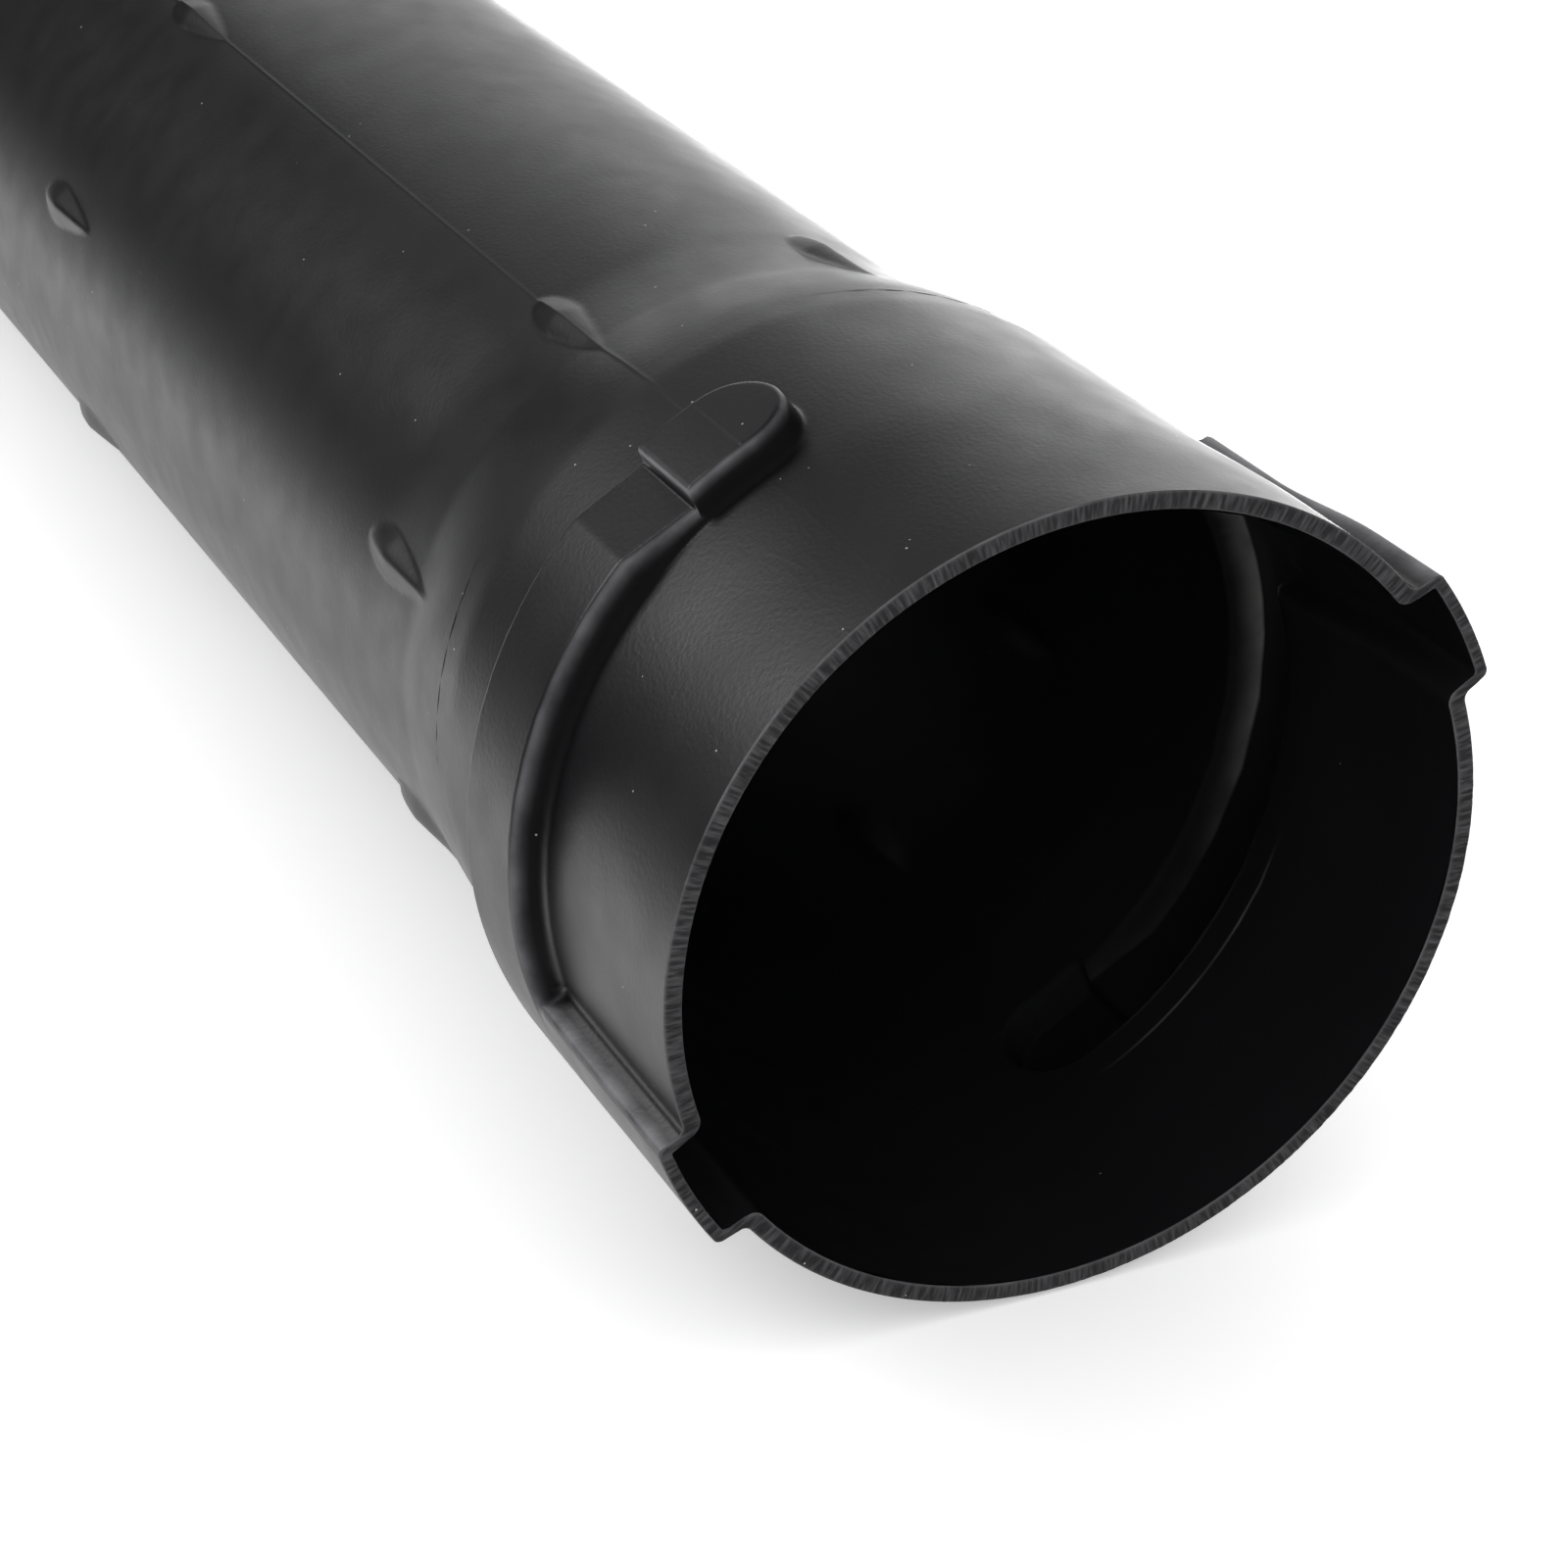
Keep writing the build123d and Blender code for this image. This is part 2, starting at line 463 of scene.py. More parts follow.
@dataclass
class Sheets:
    """Grids of points gathered into one mesh, each with its own material slot."""

    points: list[np.ndarray] = field(default_factory=list)
    quads: list[np.ndarray] = field(default_factory=list)
    slots: list[np.ndarray] = field(default_factory=list)
    smooth: list[np.ndarray] = field(default_factory=list)
    edges: list[np.ndarray] = field(default_factory=list)
    charts: list[np.ndarray] = field(default_factory=list)
    count: int = 0

    def add(self, grid: np.ndarray, slot: int, wraps: bool, outwards: bool, edge: np.ndarray | None = None,
            chart: np.ndarray | None = None, smooth: bool = True) -> None:
        """Add one grid of points with its quads.

        Args:
            grid: rows by columns by 3, in metres.
            slot: number of its material.
            wraps: whether the last column joins the first.
            outwards: whether rows by columns, right-handed, face outwards; otherwise they are turned over.
            edge: crest share of each point.
            chart: rows by columns by 2, a flat chart of the grid in metres.
            smooth: whether its faces are smooth.
        """
        rows, columns = grid.shape[:2]
        index = np.arange(rows * columns).reshape(rows, columns) + self.count
        right = np.roll(index, -1, axis=1) if wraps else index[:, 1:]
        here = index if wraps else index[:, :-1]
        quad = np.stack([here[:-1], right[:-1], right[1:], here[1:]], axis=-1).reshape(-1, 4)
        if not outwards:
            quad = quad[:, ::-1]
        self.points.append(grid.reshape(-1, 3))
        self.quads.append(quad)
        self.slots.append(np.full(len(quad), slot))
        self.smooth.append(np.full(len(quad), smooth))
        self.edges.append(np.zeros(rows * columns) if edge is None else edge.reshape(-1))
        self.charts.append(np.zeros((rows * columns, 2)) if chart is None else chart.reshape(-1, 2))
        self.count += rows * columns

    def build(self, name: str, materials: list[bpy.types.Material]) -> bpy.types.Object:
        """Make the mesh object.

        Args:
            name: name of the object.
            materials: materials in the order of the slots.

        Returns:
            The object, linked to the scene, at the origin.
        """
        points = np.concatenate(self.points)
        quads = np.concatenate(self.quads).astype(np.int32)
        mesh = bpy.data.meshes.new(name)
        mesh.vertices.add(len(points))
        mesh.vertices.foreach_set("co", points.astype(np.float32).ravel())
        mesh.loops.add(quads.size)
        mesh.loops.foreach_set("vertex_index", quads.ravel())
        mesh.polygons.add(len(quads))
        mesh.polygons.foreach_set("loop_start", np.arange(0, quads.size, 4, dtype=np.int32))
        mesh.polygons.foreach_set("material_index", np.concatenate(self.slots).astype(np.int32))
        mesh.polygons.foreach_set("use_smooth", np.concatenate(self.smooth))
        for material in materials:
            mesh.materials.append(material)
        crest = mesh.attributes.new("crest", "FLOAT", "POINT")
        crest.data.foreach_set("value", np.concatenate(self.edges).astype(np.float32))
        charts = mesh.uv_layers.new(name="chart")
        charts.uv.foreach_set("vector", np.concatenate(self.charts)[quads.ravel()].astype(np.float32).ravel())
        mesh.update(calc_edges=True)
        mesh.validate()
        thing = bpy.data.objects.new(name, mesh)
        bpy.context.scene.collection.objects.link(thing)
        log.info("%s: %d points, %d triangles", name, len(points), 2 * len(quads))
        return thing


@dataclass(frozen=True)
class Nubs:
    """Rings of teardrop nubs on the body, tips towards the mouth."""

    count: int = 8
    first_angle: float = 26.5
    starts: tuple[float, ...] = (72.5, 205.5)
    length: float = 20.5
    width: float = 5.6
    height: float = 1.3
    fullest: float = 0.64
    wedge_share: float = 0.7
    roof_share: float = 0.6
    roof_round: float = 0.08
    least_half: float = 0.02
    rise_power: float = 1.2

    def outline(self, share: np.ndarray) -> np.ndarray:
        """Half width of a nub along its length, as a share of its greatest half width.

        Args:
            share: place along the nub, 0 at its tip and 1 at its tail.

        Returns:
            The half widths: a slightly bowed wedge, then the quarter of an ellipse.
        """
        front = np.clip(share / self.fullest, 0.0, 1.0)
        back = np.clip((share - self.fullest) / (1.0 - self.fullest), 0.0, 1.0)
        bowed = np.sqrt(np.maximum(2.0 * front - front**2, 0.0))
        wedge = self.wedge_share * front + (1.0 - self.wedge_share) * bowed
        return np.where(share < self.fullest, wedge, np.sqrt(1.0 - back**2))

    def height_at(self, angle: np.ndarray, depth: np.ndarray, base: float, tall: float) -> np.ndarray:
        """Height of the nubs over the body at each place.

        Args:
            angle: angles about the axis.
            depth: depths from the rim.
            base: radius that widths are measured on.
            tall: height of a nub at its fullest.

        Returns:
            The heights, in which each cross-section is a roof with bowed sides that meets the body at an edge.
        """
        step = 360.0 / self.count
        across = ((angle - self.first_angle + step / 2.0) % step - step / 2.0) * math.radians(1.0) * base
        total = np.zeros(np.broadcast(angle, depth).shape)
        for start in self.starts:
            share = (depth - start) / self.length
            outline = self.outline(np.clip(share, 0.0, 1.0))
            half = np.maximum(self.width / 2.0 * outline, self.least_half)
            inside = (share > 0.0) & (share < 1.0)
            aside = np.abs(across / half)
            roof = 1.0 - np.sqrt(aside**2 + self.roof_round**2) + self.roof_round
            bump = np.maximum(self.roof_share * roof + (1.0 - self.roof_share) * (1.0 - aside**2), 0.0)
            crown = tall * outline**self.rise_power
            total = np.maximum(total, np.where(inside, crown * bump, 0.0))
        return total


@dataclass
class Tube:
    """The whole moulded skin, built as sheets over the barrel."""

    barrel: Barrel
    lay: Lay
    outside: Relief
    inside: Relief
    nubs: Nubs
    warp: Warp = Warp()
    seam_angles: tuple[float, ...] = (116.5, 296.5)
    seam_height: float = 0.042
    seam_width: float = 0.22
    seam_fade: tuple[float, float] = (28.0, 32.0)
    seam_below_pad: float = 0.15
    nub_hollow: float = 0.7
    skin_inset: float = 0.02
    split: float = 62.0
    outlet_edge: float = 0.12
    rim_edge: float = 0.28
    rim_columns: int = 1000
    rim_seed: int = 7
    rough_knots: int = 700
    rough_depth: float = 0.035
    nick_knots: tuple[int, int] = (420, 60)
    nick_depth: float = 0.1
    widest_column: float = 4.4

    def around(self) -> np.ndarray:
        """Angles of the lines that run along the socket, close together at every edge and at the seams."""
        arc = math.radians(1.0) * self.barrel.socket_radius
        zones = []
        for turn, bar_angle in zip((0.0, 180.0), self.outside.bar_angles):
            # The two sides of the keyway
            for edge in (-1.0, 1.0):
                foot = bar_angle + edge * 7.0 / arc
                zones.append((foot * arc - 1.5, foot * arc + 1.2, 0.2))
            # The bend at the start of the ramp
            kink = (self.outside.ramp_start + turn) * arc
            zones.append((kink - 0.9, kink + 0.9, 0.3))
            # The pad's square end, the rest of the pad, and the seam across it
            pad = (self.outside.pad_angle + turn) * arc
            zones.append((pad - 8.7, pad - 5.4, 0.2))
            zones.append((pad - 5.4, pad + 8.6, 0.27))
            zones.append((pad - 0.4, pad + 0.4, 0.13))
        lines = graded(0.0, 360.0 * arc, zones, self.widest_column) / arc
        return lines[:-1]

    def around_body(self) -> np.ndarray:
        """Angles of the lines along the body, close together at the nubs and at the seams."""
        arc = math.radians(1.0) * self.barrel.body_radius
        zones = [(angle * arc - 0.3, angle * arc + 0.3, 0.12) for angle in self.seam_angles]
        for number in range(self.nubs.count):
            middle = (self.nubs.first_angle + number * 360.0 / self.nubs.count) * arc
            zones.append((middle - 2.9, middle + 2.9, 0.48))
        lines = graded(0.0, 360.0 * arc, zones, self.widest_column) / arc
        return lines[:-1]

    def seam(self, angle: np.ndarray) -> np.ndarray:
        """Height of the faint raised line where the two halves of the mould met.

        Args:
            angle: angles about the axis.

        Returns:
            The heights.
        """
        total = np.zeros_like(angle)
        for centre in self.seam_angles:
            away = turn_from(angle, centre) * math.radians(1.0) * self.barrel.socket_radius
            total = total + self.seam_height * np.exp(-((away / self.seam_width) ** 2))
        return total

    def outer(self, angle: np.ndarray, depth: np.ndarray) -> tuple[np.ndarray, np.ndarray]:
        """Outer radius and crest share.

        Args:
            angle: angles about the axis.
            depth: depths from the rim.

        Returns:
            The radius in millimetres and the crest share.
        """
        height, edge = self.outside.height(angle, depth)
        nub = self.nubs.height_at(angle, depth, self.barrel.body_radius, self.nubs.height)
        seam = self.seam(np.broadcast_arrays(angle, depth)[0]) * (1.0 - edge)
        seam = seam * (self.seam_below_pad + (1.0 - self.seam_below_pad) * smooth_step(*self.seam_fade, depth))
        radius = self.barrel.radius(depth) + self.warp.change(angle, depth) + height + nub + seam
        return radius - self.skin_inset, edge

    def inner(self, angle: np.ndarray, depth: np.ndarray) -> tuple[np.ndarray, np.ndarray]:
        """Inner radius and crest share.

        Args:
            angle: angles about the axis.
            depth: depths from the rim.

        Returns:
            The radius in millimetres and the share of painted highlight.
        """
        height, crest_tint = self.inside.height(angle, depth)
        nub = self.nubs.height_at(angle, depth, self.barrel.body_radius - self.barrel.wall, self.nub_hollow)
        radius = self.barrel.radius(depth) + self.warp.change(angle, depth) - self.barrel.wall + height + nub
        return radius, crest_tint

    def sheet(self, sheets: Sheets, side: Side, angles: np.ndarray, depths: np.ndarray, slot: int) -> None:
        """Add one face of the wall between two depths.

        Args:
            sheets: where the grid goes.
            side: outside or inside of the wall.
            angles: the grid's columns.
            depths: the grid's rows.
            slot: number of its material.
        """
        angle, depth = np.meshgrid(angles, depths)
        radius, edge = self.outer(angle, depth) if side is Side.OUTSIDE else self.inner(angle, depth)
        arc = math.radians(1.0) * self.barrel.socket_radius * MM
        chart = np.stack([angle * arc, depth * MM], axis=-1)
        grid = self.lay.place(radius, angle, depth)
        sheets.add(grid, slot, True, side is Side.OUTSIDE, edge, chart)

    def rim(self, sheets: Sheets, slot: int, rng: np.random.Generator) -> None:
        """Add the knife-cut rim: a band from the outer edge to the inner edge, nicked and slightly wavy.

        Args:
            sheets: where the grid goes.
            slot: number of its material.
            rng: source of the nicks.
        """
        angles = np.arange(0.0, 360.0, 360.0 / self.rim_columns)
        outer, _ = self.outer(angles, np.full_like(angles, self.rim_edge))
        inner, _ = self.inner(angles, np.full_like(angles, self.rim_edge))
        thick = outer - inner
        fine, slow = self.nick_knots
        nick = smooth_noise(rng, len(angles), fine) * 0.5 + smooth_noise(rng, len(angles), slow) * 0.5
        nick_in = smooth_noise(rng, len(angles), fine) * 0.5 + smooth_noise(rng, len(angles), slow) * 0.5
        shares = np.array([0.0, 0.045, 0.11, 0.3, 0.5, 0.7, 0.89, 0.955, 1.0])
        fall = np.array([1.0, 0.42, 0.08, 0.0, 0.0, 0.0, 0.08, 0.42, 1.0])
        radius = outer[None, :] - shares[:, None] * thick[None, :]
        rough = np.stack([smooth_noise(rng, len(angles), self.rough_knots) for _ in shares])
        depth = fall[:, None] * self.rim_edge + self.rough_depth * np.abs(rough)
        depth[1:3] += self.nick_depth * np.maximum(nick, 0.0)[None, :] * np.array([[1.0], [0.6]])
        depth[6:8] += self.nick_depth * np.maximum(nick_in, 0.0)[None, :] * np.array([[0.6], [1.0]])
        depth[0] = self.rim_edge
        depth[-1] = self.rim_edge
        grid = self.lay.place(radius, np.broadcast_to(angles, radius.shape), depth)
        arc = math.radians(1.0) * self.barrel.socket_radius * MM
        chart = np.stack([np.broadcast_to(angles * arc, radius.shape), radius * MM], axis=-1)
        pale = np.array([1.0, 1.0, 0.35, 0.0, 0.0, 0.0, 0.35, 1.0, 1.0])
        edge = np.broadcast_to(pale[:, None], radius.shape)
        sheets.add(grid, slot, True, False, edge, chart, False)

    def outlet(self, sheets: Sheets, slot: int, angles: np.ndarray) -> None:
        """Add the plain cut end of the outlet.

        Args:
            sheets: where the grid goes.
            slot: number of its material.
            angles: the grid's columns.
        """
        barrel = self.barrel
        shares = np.array([0.0, 0.06, 0.94, 1.0])
        slim = self.warp.change(angles, np.full_like(angles, barrel.length))
        inset = self.skin_inset
        radius = (barrel.body_radius - inset - shares * (barrel.wall - inset))[:, None] + slim[None, :]
        fall = self.outlet_edge * np.array([1.0, 0.0, 0.0, 1.0])
        depth = barrel.length - np.broadcast_to(fall[:, None], radius.shape)
        grid = self.lay.place(radius, np.broadcast_to(angles, radius.shape), depth)
        sheets.add(grid, slot, True, True, None, None, False)

    def build(self, moulded: bpy.types.Material, cut: bpy.types.Material,
              hollow: bpy.types.Material) -> bpy.types.Object:
        """Build the skin.

        Args:
            moulded: plastic of the outside.
            cut: plastic of the cut rim.
            hollow: plastic of the inside.

        Returns:
            The skin's object.
        """
        rng = np.random.default_rng(self.rim_seed)
        sheets = Sheets()
        relief = self.outside
        angles = self.around()
        body_angles = self.around_body()
        end = self.barrel.length - self.outlet_edge
        socket_rows = [
            (0.3, 0.8, 0.25),
            (relief.ridge_front - 1.8, relief.ridge_front + 2.0, 0.2),
            (relief.ridge_rear - 1.6, relief.ridge_rear + 1.8, 0.16),
            (relief.ridge_front, relief.ridge_rear, 0.5),
            (56.0, 59.0, 0.8),
        ]
        body_rows = [(start - 0.3, start + self.nubs.length + 0.3, 0.75) for start in self.nubs.starts]
        body_rows.append((64.0, 78.0, 1.4))
        inner_rows = [
            (26.3, 27.1, 0.14),
            (30.4, 31.6, 0.18),
            (41.6, 42.6, 0.14),
            (29.0, 44.0, 0.8),
            (55.0, 59.0, 0.9),
        ]
        inner_body_rows = [(72.0, 92.0, 1.5)]
        self.sheet(sheets, Side.OUTSIDE, angles, graded(self.rim_edge, self.split, socket_rows, 3.0), 0)
        self.sheet(sheets, Side.OUTSIDE, body_angles, graded(self.split, end, body_rows, 16.0), 0)
        self.sheet(sheets, Side.INSIDE, angles[::2], graded(self.rim_edge, self.split, inner_rows, 4.0), 2)
        self.sheet(sheets, Side.INSIDE, body_angles[::2], graded(self.split, end, inner_body_rows, 18.0), 2)
        self.rim(sheets, 1, rng)
        self.outlet(sheets, 1, body_angles)
        return sheets.build("tube_skin", [moulded, cut, hollow])


def smooth_noise(rng: np.random.Generator, count: int, knots: int) -> np.ndarray:
    """Noise on a closed line, between about -1 and 1.

    Args:
        rng: source of chance.
        count: number of values.
        knots: number of random values that the line is drawn through.

    Returns:
        The values, the last of which leads on to the first.
    """
    values = rng.uniform(-1.0, 1.0, knots)
    place = np.arange(count) * knots / count
    low = np.floor(place).astype(int)
    share = smooth_step(0.0, 1.0, place - low)
    return values[low % knots] * (1.0 - share) + values[(low + 1) % knots] * share


def linear(hex_colour: str) -> tuple[float, float, float, float]:
    """Linear colour of an sRGB hex code.

    Args:
        hex_colour: six hex digits after a hash sign.

    Returns:
        Red, green, blue and an alpha of 1, all linear.
    """
    channels = [int(hex_colour[place:place + 2], 16) / 255.0 for place in (1, 3, 5)]
    red, green, blue = [c / 12.92 if c <= 0.04045 else ((c + 0.055) / 1.055) ** 2.4 for c in channels]
    return red, green, blue, 1.0


@dataclass(frozen=True)
class Plastic:
    """Finish of one kind of surface of the moulded polyethylene. Sizes are in millimetres, angles in degrees."""

    name: str
    dark: str
    pale: str
    roughness: float
    roughness_spread: float
    grain_size: float
    grain_depth: float
    swell_size: float
    swell_depth: float
    speck: str
    speck_share: float
    crest: str
    crest_share: float
    streak: str = "#000000"
    streak_share: float = 0.0
    streak_size: tuple[float, float] = (0.45, 3.4)
    streak_turn: float = -52.0
    patch_size: float = 6.0
    speck_spacing: float = 1.7
    speck_radius: float = 0.075
    crest_power: float = 1.7


@dataclass
class NodeTree:
    """A material's node tree, with one helper that adds and links a node."""

    tree: bpy.types.NodeTree

    def node(self, kind: str, inputs: dict | None = None, **settings: object) -> bpy.types.Node:
        """Add a node.

        Args:
            kind: class name of the node.
            inputs: values or output sockets by input name or number.
            settings: attributes to set on the node.

        Returns:
            The node.
        """
        made = self.tree.nodes.new(kind)
        for name, value in settings.items():
            setattr(made, name, value)
        for name, value in (inputs or {}).items():
            if isinstance(value, bpy.types.NodeSocket):
                self.tree.links.new(value, made.inputs[name])
            else:
                made.inputs[name].default_value = value
        return made


def plastic_material(finish: Plastic) -> bpy.types.Material:
    """Black high-density polyethylene with a fine grain, a slow swell, dust, pale crests and knife strokes.

    Args:
        finish: the surface's sizes, colours and shares.

    Returns:
        The material. Its patterns are laid in object coordinates and the strokes on the chart, both in metres.
    """
    material = bpy.data.materials.new(finish.name)
    material.use_nodes = True
    tree = material.node_tree
    tree.nodes.clear()
    add = NodeTree(tree).node
    place = add("ShaderNodeTexCoord").outputs["Object"]
    slow = add("ShaderNodeTexNoise", {"Vector": place, "Scale": 1.0 / (finish.swell_size * MM), "Detail": 3.0})
    patch = add("ShaderNodeTexNoise", {"Vector": place, "Scale": 1.0 / (finish.patch_size * MM), "Detail": 4.0})
    grain = add("ShaderNodeTexNoise", {"Vector": place, "Scale": 1.0 / (finish.grain_size * MM), "Detail": 2.0})
    spots = add("ShaderNodeTexVoronoi", {"Vector": place, "Scale": 1.0 / (finish.speck_spacing * MM)}, feature="F1")
    chance = add("ShaderNodeTexWhiteNoise", {"Vector": spots.outputs["Position"]})
    picked = add("ShaderNodeMath", {0: chance.outputs["Value"], 1: 1.0 - finish.speck_share}, operation="GREATER_THAN")
    small = add("ShaderNodeMath", {0: spots.outputs["Distance"], 1: finish.speck_radius}, operation="LESS_THAN")
    speck = add("ShaderNodeMath", {0: picked.outputs[0], 1: small.outputs[0]}, operation="MULTIPLY")
    base = add("ShaderNodeMix", {0: slow.outputs["Fac"], 6: linear(finish.dark), 7: linear(finish.pale)},
               data_type="RGBA")
    # Pale crests: a painted highlight on the moulded outside and inside, pale whitening on the knife-cut rim.
    crest = add("ShaderNodeAttribute", attribute_name="crest").outputs["Fac"]
    patchy = add("ShaderNodeMapRange", {"Value": patch.outputs["Fac"], "From Min": 0.35, "From Max": 0.7,
                                        "To Min": 0.35, "To Max": 1.0})
    keen_crest = add("ShaderNodeMath", {0: crest, 1: finish.crest_power}, operation="POWER")
    pale_line_share = add("ShaderNodeMath", {0: keen_crest.outputs[0], 1: patchy.outputs["Result"]}, operation="MULTIPLY")
    sheen_and_wear = add("ShaderNodeMath", {0: pale_line_share.outputs[0], 1: finish.crest_share}, operation="MULTIPLY")
    crest_tint = add("ShaderNodeMix", {0: sheen_and_wear.outputs[0], 6: base.outputs[2], 7: linear(finish.crest)}, data_type="RGBA")
    wide, long = finish.streak_size
    cut = add("ShaderNodeMapping", {"Vector": add("ShaderNodeUVMap", uv_map="chart").outputs["UV"],
                                    "Rotation": (0.0, 0.0, math.radians(finish.streak_turn)),
                                    "Scale": (1.0 / (wide * MM), 1.0 / (long * MM), 1.0)})
    strokes = add("ShaderNodeTexNoise", {"Vector": cut.outputs["Vector"], "Scale": 1.0, "Detail": 3.0})
    keen = add("ShaderNodeMapRange", {"Value": strokes.outputs["Fac"], "From Min": 0.42, "From Max": 0.72,
                                      "To Min": 0.0, "To Max": finish.streak_share})
    drawn = add("ShaderNodeMix", {0: keen.outputs["Result"], 6: crest_tint.outputs[2], 7: linear(finish.streak)},
                data_type="RGBA")
    colour = add("ShaderNodeMix", {0: speck.outputs[0], 6: drawn.outputs[2], 7: linear(finish.speck)},
                 data_type="RGBA")
    rough = add("ShaderNodeMapRange", {"Value": patch.outputs["Fac"], "From Min": 0.3, "From Max": 0.7,
                                       "To Min": finish.roughness - finish.roughness_spread,
                                       "To Max": finish.roughness + finish.roughness_spread})
    swell = add("ShaderNodeBump", {"Height": slow.outputs["Fac"], "Distance": finish.swell_depth * MM,
                                   "Strength": 1.0})
    bump = add("ShaderNodeBump", {"Height": grain.outputs["Fac"], "Distance": finish.grain_depth * MM,
                                  "Strength": 1.0, "Normal": swell.outputs["Normal"]})
    surface = add("ShaderNodeBsdfPrincipled", {"Base Color": colour.outputs[2], "Roughness": rough.outputs["Result"],
                                               "IOR": 1.54, "Normal": bump.outputs["Normal"]})
    add("ShaderNodeOutputMaterial", {"Surface": surface.outputs["BSDF"]})
    return material


@dataclass(frozen=True)
class Lamp:
    """A soft box: a plain glowing rectangle that faces the socket. Sizes are in metres."""

    name: str
    place: tuple[float, float, float]
    width: float
    height: float
    radiance: float


@dataclass
class Studio:
    """Floor, room, soft boxes and camera."""

    aim: tuple[float, float, float] = (0.18, -0.01, 0.07)
    lamps: tuple[Lamp, ...] = (
        Lamp("left_low", (-0.430, -0.663, 0.547), 0.28, 0.28, 8.3),
        Lamp("left_high", (-0.430, -0.485, 0.720), 0.28, 0.28, 3.2),
        Lamp("back_left", (-0.616, -0.114, 0.672), 0.28, 0.28, 0.21),
        Lamp("back", (-0.612, 0.073, 0.680), 0.28, 0.28, 0.08),
        Lamp("back_low", (-0.610, 0.190, 0.270), 0.38, 0.16, 1.8),
        Lamp("back_high", (-0.608, 0.255, 0.634), 0.28, 0.28, 0.4),
        Lamp("back_right_high", (-0.602, 0.415, 0.538), 0.28, 0.28, 0.74),
        Lamp("back_right", (-0.595, 0.541, 0.400), 0.28, 0.28, 1.5),
        Lamp("back_right_low", (-0.588, 0.622, 0.233), 0.28, 0.28, 1.36),
    )
    room_light: float = 1.0
    room_gloss: float = 0.0
    floor_span: tuple[float, float] = (-0.25, 1.35)
    floor_peak: float = 14.0
    floor_lift: float = 0.34
    floor_levels: tuple[tuple[float, float], ...] = (
        (-0.145, 0.0), (-0.125, 2.3), (-0.1, 2.2), (-0.08, 1.0), (0.0, 1.0), (0.06, 0.6), (0.115, 0.9), (0.14, 11.0),
        (0.185, 12.5), (0.24, 6.0), (0.32, 1.5), (0.55, 1.5), (0.7, 4.0), (1.1, 5.5), (1.3, 8.0))
    floor_colour: str = "#f6f6f6"
    floor_reach: float = 6.0
    floor_fade: tuple[float, float] = (0.17, 0.21)
    camera_place: tuple[float, float, float] = (0.48154, -0.17847, 0.23330)
    forward: tuple[float, float, float] = (-0.7899, 0.4037, -0.4616)
    right: tuple[float, float, float] = (0.4383, 0.8981, 0.0355)
    lens: float = 85.64

    def floor(self) -> None:
        """Lay a plain white floor that keeps the tube's shadow.

        Gloss sees it as strips of light that run along the tube, of the levels given by floor_levels at their
        places across it, and sees none in front of the mouth.
        """
        mesh = bpy.data.meshes.new("floor")
        reach = self.floor_reach
        corners = [(-reach, -reach, 0.0), (reach, -reach, 0.0), (reach, reach, 0.0), (-reach, reach, 0.0)]
        mesh.from_pydata(corners, [], [(0, 1, 2, 3)])
        material = bpy.data.materials.new("matt_white_paper")
        material.use_nodes = True
        tree = material.node_tree
        tree.nodes.clear()
        add = NodeTree(tree).node
        paper = add("ShaderNodeBsdfPrincipled", {"Base Color": linear(self.floor_colour), "Roughness": 0.9,
                                                 "Specular IOR Level": 0.2})
        place = add("ShaderNodeSeparateXYZ", {0: add("ShaderNodeTexCoord").outputs["Object"]})
        low, high = self.floor_span
        across = add("ShaderNodeMapRange", {"Value": place.outputs["Y"], "From Min": low, "From Max": high})
        levels = add("ShaderNodeValToRGB", {"Fac": across.outputs["Result"]})
        ramp = levels.color_ramp
        while len(ramp.elements) < len(self.floor_levels):
            ramp.elements.new(0.5)
        for stop, (side, level) in zip(ramp.elements, self.floor_levels):
            share = level / self.floor_peak
            stop.position = (side - low) / (high - low)
            stop.color = (share, share, share, 1.0)
        near, far = self.floor_fade
        ahead = add("ShaderNodeMapRange", {"Value": place.outputs["X"], "From Min": near, "From Max": far,
                                           "To Min": self.floor_peak, "To Max": 0.0})
        glow = add("ShaderNodeMath", {0: levels.outputs["Color"], 1: ahead.outputs["Result"]}, operation="MULTIPLY")
        seen = add("ShaderNodeEmission", {"Strength": glow.outputs[0]})
        ray = add("ShaderNodeLightPath")
        lift = add("ShaderNodeMath", {0: ray.outputs["Is Camera Ray"], 1: self.floor_lift}, operation="MULTIPLY")
        veil = add("ShaderNodeEmission", {"Strength": lift.outputs[0]})
        lit = add("ShaderNodeAddShader", {0: paper.outputs["BSDF"], 1: veil.outputs[0]})
        both = add("ShaderNodeMixShader", {0: ray.outputs["Is Glossy Ray"], 1: lit.outputs[0], 2: seen.outputs[0]})
        add("ShaderNodeOutputMaterial", {"Surface": both.outputs[0]})
        mesh.materials.append(material)
        floor = bpy.data.objects.new("floor", mesh)
        bpy.context.scene.collection.objects.link(floor)

    def world(self) -> None:
        """Fill the room with an even white light, which gloss sees at a level of its own."""
        world = bpy.data.worlds.new("room")
        world.use_nodes = True
        tree = world.node_tree
        tree.nodes.clear()
        add = NodeTree(tree).node
        ray = add("ShaderNodeLightPath")
        level = add("ShaderNodeMapRange", {"Value": ray.outputs["Is Glossy Ray"], "To Min": self.room_light,
                                           "To Max": self.room_gloss})
        light = add("ShaderNodeBackground", {"Color": linear("#ffffff"), "Strength": level.outputs["Result"]})
        add("ShaderNodeOutputWorld", {"Surface": light.outputs["Background"]})
        bpy.context.scene.world = world

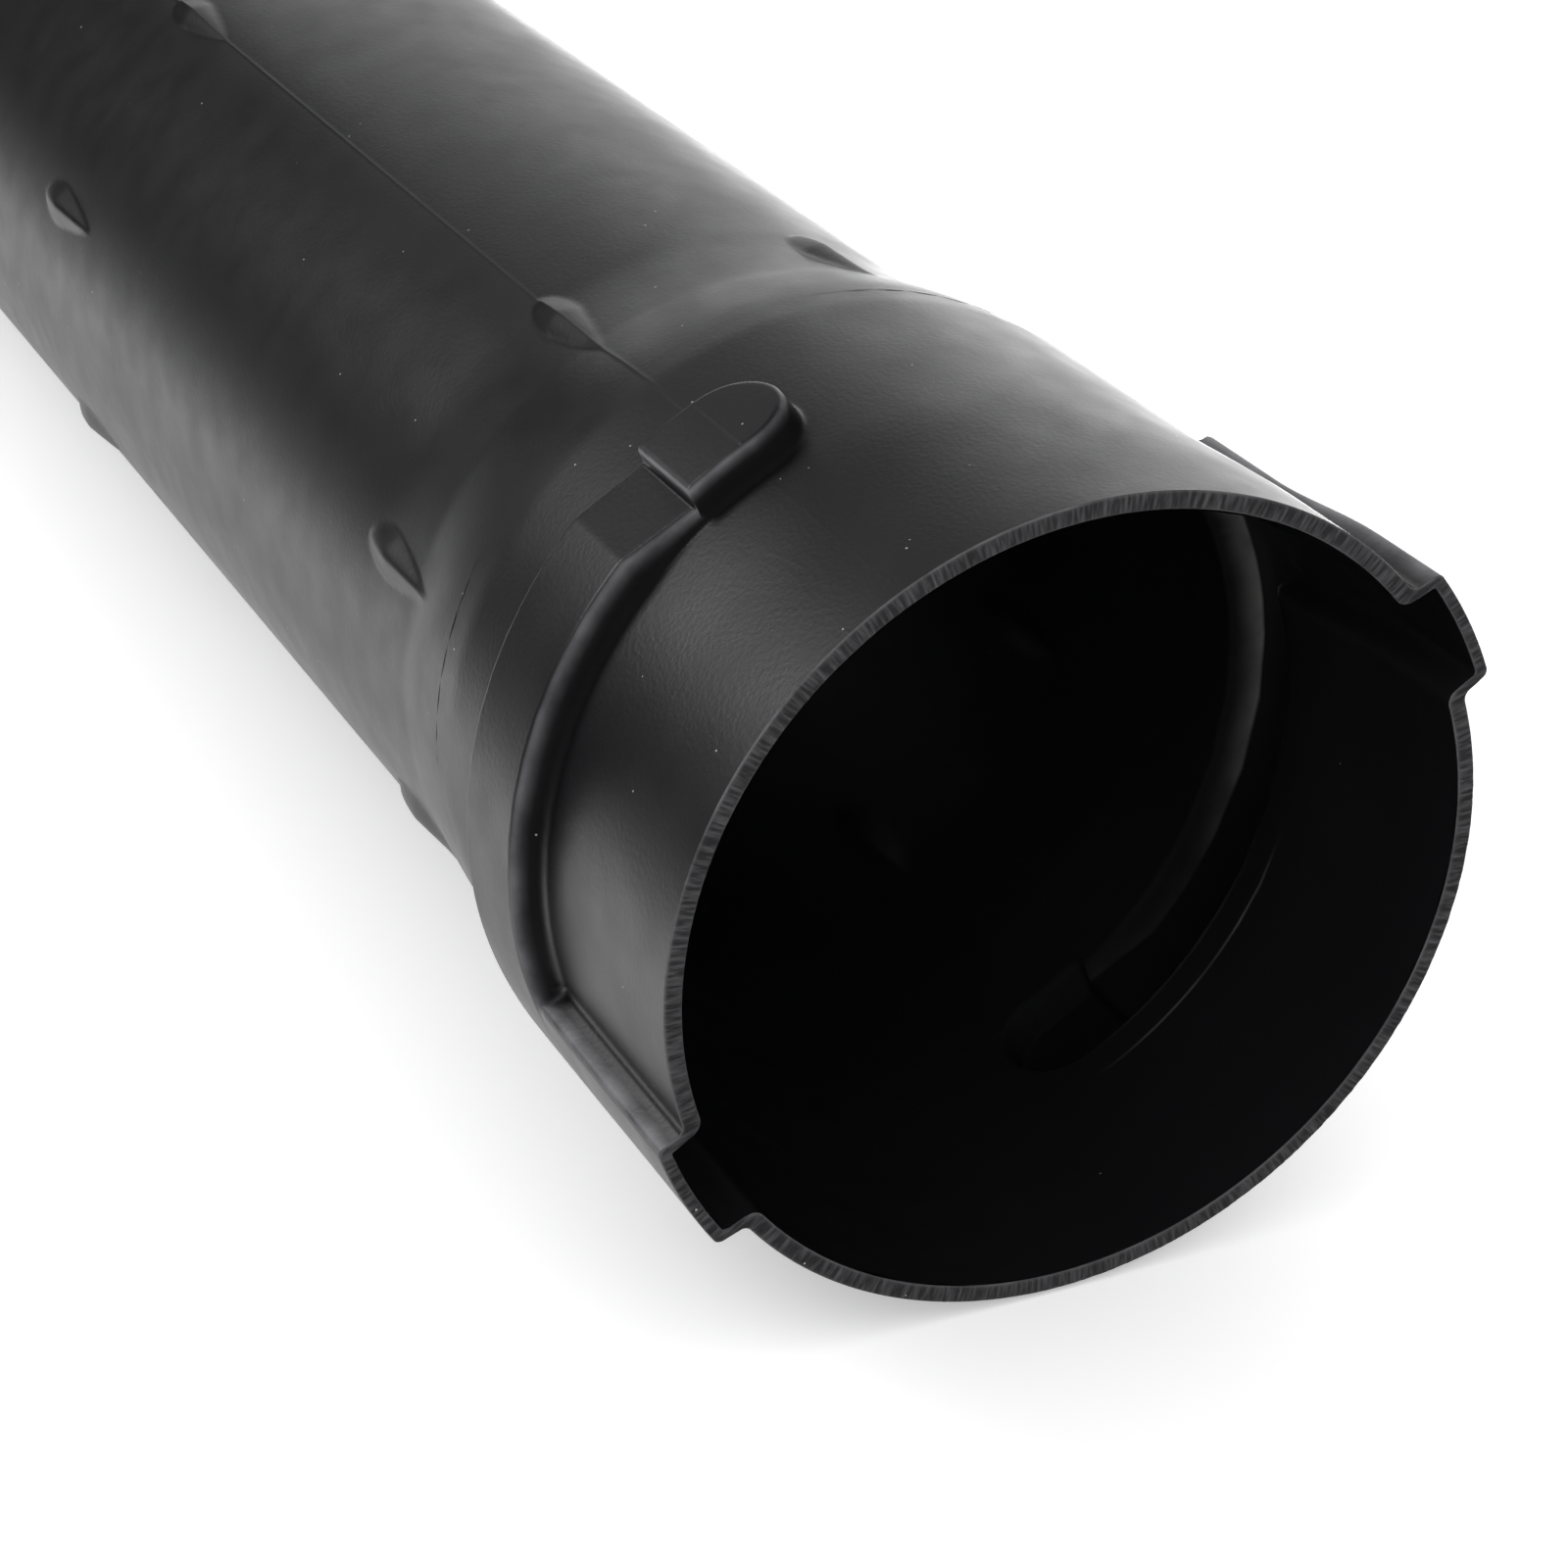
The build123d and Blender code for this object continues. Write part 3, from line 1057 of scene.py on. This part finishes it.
    def light(self) -> None:
        """Hang the soft boxes, each facing the socket."""
        aim = np.array(self.aim)
        for lamp in self.lamps:
            place = np.array(lamp.place)
            away = (place - aim) / np.linalg.norm(place - aim)
            side = np.cross([0.0, 0.0, 1.0], away)
            side /= np.linalg.norm(side)
            up = np.cross(away, side)
            data = bpy.data.lights.new(lamp.name, "AREA")
            data.shape = "RECTANGLE"
            data.size, data.size_y = lamp.width, lamp.height
            data.energy = lamp.radiance * math.pi * lamp.width * lamp.height
            box = bpy.data.objects.new(lamp.name, data)
            box.matrix_world = Matrix([[side[k], up[k], away[k], place[k]] for k in range(3)] + [[0, 0, 0, 1]])
            box.visible_camera = False
            bpy.context.scene.collection.objects.link(box)

    def camera(self) -> None:
        """Set the camera where the photograph was taken from."""
        forward = np.array(self.forward) / np.linalg.norm(self.forward)
        right = np.array(self.right) - forward * float(np.dot(self.right, forward))
        right /= np.linalg.norm(right)
        up = np.cross(right, forward)
        data = bpy.data.cameras.new("camera")
        data.lens = self.lens
        data.sensor_width = 36.0
        data.clip_start = 0.01
        camera = bpy.data.objects.new("camera", data)
        camera.matrix_world = Matrix(
            [[right[k], up[k], -forward[k], self.camera_place[k]] for k in range(3)] + [[0, 0, 0, 1]])
        bpy.context.scene.collection.objects.link(camera)
        bpy.context.scene.camera = camera

    def build(self) -> None:
        """Set up everything round the tube."""
        self.floor()
        self.world()
        self.light()
        self.camera()
        bpy.context.scene.view_settings.view_transform = "Standard"


# The outside's crest colour is a painted highlight along the crests of the bars, ridges and pad and at the ridge's
# foot.
OUTSIDE = Plastic(
    name="blow_moulded_hdpe", dark="#131315", pale="#19191c", roughness=0.4, roughness_spread=0.03,
    grain_size=0.6, grain_depth=0.026, swell_size=22.0, swell_depth=0.02, speck="#9a9a98", speck_share=0.045,
    crest="#88888c", crest_share=0.75)
RIM = Plastic(
    name="knife_cut_hdpe", dark="#242426", pale="#333336", roughness=0.6, roughness_spread=0.1,
    grain_size=0.3, grain_depth=0.04, swell_size=3.0, swell_depth=0.05, speck="#a8a8a6", speck_share=0.08,
    crest="#8c8c8e", crest_share=0.4, streak="#58585a", streak_share=0.8)
# The inside's crest colour is painted highlight lines in the groove.
HOLLOW = Plastic(
    name="blow_moulded_hdpe_inside", dark="#161618", pale="#1b1b1e", roughness=0.4, roughness_spread=0.05,
    grain_size=0.6, grain_depth=0.004, swell_size=20.0, swell_depth=0.04, speck="#6a6a6a", speck_share=0.004,
    crest="#9a9a98", crest_share=0.55)


def main() -> None:
    """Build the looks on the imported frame."""
    logging.basicConfig(level=logging.INFO, format="%(message)s")
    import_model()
    barrel = Barrel()
    outside = Relief(Side.OUTSIDE, barrel.socket_radius)
    inside = Relief(Side.INSIDE, barrel.socket_radius - barrel.wall, keyway_foot=6.45, keyway_height=4.0,
                    ridge_height=4.2, ridge_front=31.3, ridge_rear=42.4, ramp_low=2.3, pad_height=4.2,
                    pad_half=6.5, pad_lead=7.1, pad_run=1.25, crest=0.5, root=1.6)
    tube = Tube(barrel, Lay(barrel), outside, inside, Nubs())
    skin = tube.build(plastic_material(OUTSIDE), plastic_material(RIM), plastic_material(HOLLOW))
    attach(skin, "root")
    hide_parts(NODE)
    Studio().build()


if __name__ == "__main__":
    main()
